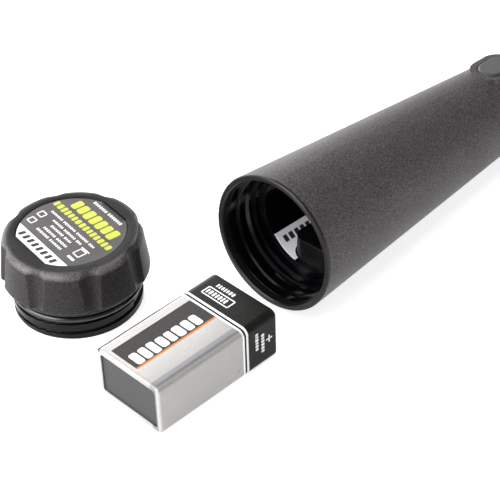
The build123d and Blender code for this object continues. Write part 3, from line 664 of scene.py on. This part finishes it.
# ---------------------------------------------------------------- materials of the pieces
def battery_jacket_surface():
    """Lithographed jacket: dark band, pale lines, grey panel, a copper line, silver elsewhere."""
    surface = Surface("battery_lithograph")
    out = surface.measure(BATTERY_FRONT, BATTERY_OUT)
    side = surface.measure(BATTERY_FRONT, BATTERY_SIDE)
    up = surface.measure(BATTERY_FRONT, Vector((0, 0, 1)))
    brushed = surface.noise(0.3 * MM, detail=2.0, stretch=(0.08, 1, 1))
    haze = surface.noise(7 * MM, detail=3.0)
    top = surface.spread(up, CASE_HEIGHT / 2 - 1.2 * MM, CASE_HEIGHT / 2 - 1.0 * MM, 0, 1)
    silver = surface.mix(brushed, (0.33, 0.32, 0.31), (0.45, 0.44, 0.43))
    fade = surface.math("MULTIPLY", surface.band(side, 2.6 * MM, 9.6 * MM, 0.1 * MM),
                        surface.spread(side, 2.6 * MM, 9.6 * MM, 0.1, 0.75))
    colour = surface.mix(fade, silver, (0.30, 0.29, 0.28))
    outline = surface.math("MULTIPLY", surface.band(side, -13.4 * MM, -11.7 * MM), top)
    colour = surface.mix(outline, colour, (0.03, 0.03, 0.03))
    stripe = surface.band(side, 9.5 * MM, 12.0 * MM, 0.2 * MM)
    colour = surface.mix(stripe, colour, (0.20, 0.20, 0.21))
    behind = surface.math("MULTIPLY", surface.band(out, 14.0 * MM, 44.6 * MM), top)
    panel = surface.math("MULTIPLY", surface.band(side, -8.6 * MM, 2.3 * MM), behind)
    colour = surface.mix(panel, colour, (0.030, 0.027, 0.026))
    copper = surface.math("MULTIPLY", surface.band(side, 1.95 * MM, 2.65 * MM), behind)
    colour = surface.mix(copper, colour, (0.46, 0.15, 0.035))
    dark = surface.band(out, -1 * MM, 13.4 * MM)
    colour = surface.mix(dark, colour, (0.0036, 0.0031, 0.0024))
    for low, high in ((11.7, 12.5), (13.2, 13.9)):
        colour = surface.mix(surface.band(out, low * MM, high * MM), colour, (0.85, 0.85, 0.84))
    colour = surface.mix(surface.math("MULTIPLY", haze, 0.03), colour, (0.3, 0.3, 0.3))
    printed = surface.math("MAXIMUM", surface.math("MAXIMUM", panel, dark), copper)
    surface.set(
        Base_Color=colour,
        Metallic=surface.spread(printed, 0, 1, 0.35, 0.0),
        Specular_IOR_Level=0.10,
        Roughness=surface.spread(haze, 0.3, 0.7, 0.26, 0.36),
    )
    return surface.relief(haze, 0.004 * MM, 0.3 * MM).material


def serial_strip_surface():
    """Pale paper strip with a row of bold dark marks along it."""
    surface = Surface("serial_paper_marked")
    along = surface.measure(MOUTH, ALONG)
    row = surface.band(surface.round_the_tube()[1], radians(-54), radians(-46), 0.01)
    row = surface.math("MULTIPLY", row, surface.band(along, 18.6 * MM, 48 * MM))
    pitch = 2.6 * MM
    beat = surface.math("FRACT", surface.math("DIVIDE", along, pitch))
    marks = surface.math("MULTIPLY", surface.band(beat, 0.12, 0.80, 0.02), row)
    grain = surface.noise(0.3 * MM, detail=3.0)
    paper = surface.mix(grain, (0.84, 0.83, 0.90), (0.95, 0.94, 1.0))
    surface.set(Base_Color=surface.mix(marks, paper, (0.02, 0.02, 0.03)), Roughness=0.45)
    return surface.relief(grain, 0.01 * MM).material


def winding_surface():
    """Enamelled copper wire, turn beside turn along the probe."""
    surface = Surface("enamelled_turns")
    along = surface.measure(MOUTH, ALONG)
    turn = surface.math("FRACT", surface.math("DIVIDE", along, 0.32 * MM))
    ridge = surface.math("SINE", surface.math("MULTIPLY", turn, pi))
    haze = surface.noise(3 * MM, detail=3.0)
    surface.set(
        Base_Color=surface.mix(haze, (0.42, 0.13, 0.04), (0.62, 0.24, 0.08)),
        Metallic=1.0,
        Roughness=surface.spread(haze, 0.3, 0.7, 0.22, 0.34),
    )
    return surface.relief(ridge, 0.12 * MM).material


def lamp_surface():
    """Clear epoxy with slight waviness."""
    surface = Surface("clear_epoxy")
    wave = surface.noise(1.5 * MM)
    surface.set(
        Base_Color=surface.mix(wave, (0.90, 0.93, 0.97), (0.97, 0.98, 1.0)),
        Transmission_Weight=0.9,
        Roughness=surface.spread(wave, 0.3, 0.7, 0.03, 0.09),
        IOR=1.5,
    )
    return surface.relief(wave, 0.02 * MM).material


def label_surface():
    """Laminated grey label, faintly mottled."""
    surface = Surface("label_grey")
    fine = surface.noise(0.2 * MM, detail=3.0)
    slow = surface.noise(5 * MM, detail=3.0)
    tone = surface.math("MULTIPLY", fine, slow)
    surface.set(
        Base_Color=surface.mix(tone, (0.068, 0.062, 0.062), (0.054, 0.050, 0.051)),
        Roughness=surface.spread(slow, 0.3, 0.7, 0.44, 0.56),
        Specular_IOR_Level=0.16,
    )
    return surface.relief(slow, 0.03 * MM).material


def circuit_board_surface():
    """Green solder mask over faint copper tracks."""
    surface = Surface("solder_mask")
    along = surface.measure(MOUTH, ALONG)
    across = surface.measure(MOUTH, ACROSS)
    wander = surface.noise(5 * MM, detail=1.0)
    lane = surface.math("DIVIDE", across, 1.3 * MM)
    lane = surface.math("ADD", lane, surface.math("MULTIPLY", wander, 4))
    track = surface.band(surface.math("FRACT", lane), 0.3, 0.7, 0.05)
    cut = surface.band(surface.math("FRACT", surface.math("DIVIDE", along, 9 * MM)), 0.1, 0.95, 0.02)
    track = surface.math("MULTIPLY", track, cut)
    surface.set(Base_Color=surface.mix(track, (0.01, 0.09, 0.035), (0.02, 0.15, 0.05)), Roughness=0.3)
    return surface.relief(track, 0.03 * MM, 0.1 * MM).material


def dress_nodes():
    """Finished materials for every CAD node that stays."""
    nose = moulded_plastic("nose_textured", (0.052, 0.047, 0.049), 0.45, 0.33 * MM, 0.07 * MM)
    # Painted shade: the guides, contact block and plunger darkened nearly to zero
    inner_painted_shade = moulded_plastic("inner_painted_shade_black", (0.002, 0.002, 0.0025), 0.3, 0.6 * MM, 0.01 * MM)
    steel = metal("plated_steel", (0.55, 0.55, 0.56), 0.3)
    can = metal("aluminium_can", (0.72, 0.72, 0.74), 0.28, brushed=(1, 0.1, 1))
    gold = metal("gold_plated", (0.80, 0.62, 0.26), 0.25)
    nickel = metal("nickel", (0.70, 0.68, 0.64), 0.22)
    chip = moulded_plastic("chip_epoxy", (0.02, 0.02, 0.022), 0.5, grain=0.15 * MM, edge=0.1 * MM)
    component = moulded_plastic("component_body", (0.42, 0.34, 0.22), 0.5, grain=0.2 * MM)
    ferrite = moulded_plastic("ferrite", (0.05, 0.05, 0.055), 0.55, grain=0.5 * MM)
    former = moulded_plastic("former_plastic", (0.5, 0.47, 0.4), 0.45, grain=0.5 * MM, depth=0.01 * MM)
    insulation = rubber("wire_red", (0.42, 0.03, 0.02), 0.35)
    foam = moulded_plastic("foam", (0.03, 0.03, 0.033), 0.95, 0.9 * MM, 0.35 * MM, mottle=0.5, edge=0)
    copper = winding_surface()
    plate_black = moulded_plastic("battery_plate_black", (0.02, 0.02, 0.02), 0.3, 0.5 * MM, 0.01 * MM)
    finishes = {
        tube_surface(): ("handle_tube",),
        nose: ("nose_tube",),
        inner_painted_shade: ("battery_guides", "contact_block", "switch_plunger"),
        serial_strip_surface(): ("serial_strip",),
        gold: ("contact_barrels", "positive_contact", "negative_contact"),
        circuit_board_surface(): ("circuit_board",),
        steel: ("board_screws", "motor_rotor"),
        chip: ("main_chip", "buzzer", "tactile_switch"),
        component: ("small_components",),
        can: ("capacitor", "vibration_motor", "battery_cells"),
        rubber("membrane_cloth", (0.05, 0.05, 0.05), 0.8, sheen=0.3): ("sound_membrane",),
        rubber("button_soft", (0.022, 0.021, 0.022), 0.55, sheen=0.2): ("power_button",),
        lamp_surface(): ("lamp",),
        insulation: ("lamp_leads", "battery_leads", "coil_leads"),
        ferrite: ("ferrite_core",),
        former: ("coil_former",),
        copper: ("transmit_winding", "receive_winding"),
        foam: ("core_cushions", "battery_pad"),
        label_surface(): ("cap_label",),
        rubber("o_ring_greased", (0.006, 0.006, 0.007), 0.18): ("cap_o_ring",),
        battery_jacket_surface(): ("battery_jacket",),
        plate_black: ("battery_top_plate", "battery_base_plate"),
        nickel: ("positive_terminal", "negative_terminal"),
    }
    for material, names in finishes.items():
        for name in names:
            dress(name, material)


# ---------------------------------------------------------------- table and light
TABLE_REACH = 40.0
# Name, place in metres from the table below the mouth, side in metres and power in watts
SOFT_BOXES = (
    ("key", (-0.85, 0.25, 0.40), 0.90, 22.0),
    ("back", (0.35, 0.9, 0.5), 0.7, 11.0),
    ("top", (0.0, 0.0, 1.1), 0.7, 5.0),
)


def make_stage():
    """White light table, pale room, soft boxes and a small light into the mouth."""
    surface = Surface("table_white")
    grain = surface.noise(30 * MM, detail=3.0)
    surface.set(
        Base_Color=surface.mix(grain, (0.49, 0.49, 0.49), (0.51, 0.51, 0.51)),
        Roughness=0.8,
        Emission_Color=(1, 1, 1, 1),
        Emission_Strength=0.80,
    )
    corners = [(x * TABLE_REACH, y * TABLE_REACH, 0) for x, y in ((-1, -1), (1, -1), (1, 1), (-1, 1))]
    make_object("table", corners, [(0, 1, 2, 3)], surface.material, smooth=False)
    make_room()
    for box in SOFT_BOXES:
        soft_box(*box)
    spot_light("mouth_light", (-0.60, -0.10, 0.25), 5.0)
    bpy.context.scene.view_settings.view_transform = "Standard"


def make_room():
    """Even surround, nearly white at the horizon and greyer above it."""
    world = bpy.data.worlds.new("bright_room")
    bpy.context.scene.world = world
    world.use_nodes = True
    tree = world.node_tree
    background = tree.nodes["Background"]
    background.inputs["Color"].default_value = (1, 1, 1, 1)
    direction = tree.nodes.new("ShaderNodeTexCoord")
    parts = tree.nodes.new("ShaderNodeSeparateXYZ")
    fall = tree.nodes.new("ShaderNodeMapRange")
    for socket, number in zip(fall.inputs, (0, 0.06, 0.22, 0.95, 0.31)):
        socket.default_value = number
    tree.links.new(direction.outputs["Generated"], parts.inputs[0])
    tree.links.new(parts.outputs["Z"], fall.inputs[0])
    tree.links.new(fall.outputs[0], background.inputs["Strength"])


def soft_box(name, place, size, power):
    """Square area light that looks at the middle of the group."""
    light = bpy.data.lights.new(name, "AREA")
    light.size = size
    light.energy = power
    place_light(light, place, Vector((MOUTH.x, MOUTH.y, 0)))


def spot_light(name, place, power):
    """Narrow light into the mouth of the tube."""
    light = bpy.data.lights.new(name, "SPOT")
    light.energy = power
    light.spot_size = radians(4.4)
    light.spot_blend = 0.4
    light.shadow_soft_size = 0.02
    place_light(light, place, MOUTH + ALONG * 20 * MM - UP * 4 * MM)


def place_light(light, place, aim):
    """Puts the light at place, measured from the table below the mouth, and turns it to aim."""
    lamp = bpy.data.objects.new(light.name, light)
    bpy.context.scene.collection.objects.link(lamp)
    lamp.location = Vector(place) + Vector((MOUTH.x, MOUTH.y, 0))
    lamp.rotation_euler = (aim - lamp.location).to_track_quat("-Z", "Y").to_euler()


# ---------------------------------------------------------------- the scene
aim_camera()
make_stage()
dress_nodes()
make_knob(knob_surface())
yellow_ink = ink("ink_yellow", (0.50, 0.53, 0.06))
white_ink = ink("ink_white", (0.80, 0.80, 0.80))
print_cap_label(yellow_ink, white_ink, ink("ink_black", (0.015, 0.015, 0.016)))
print_battery(ink("ink_white_gloss", (0.86, 0.86, 0.86), 0.25))
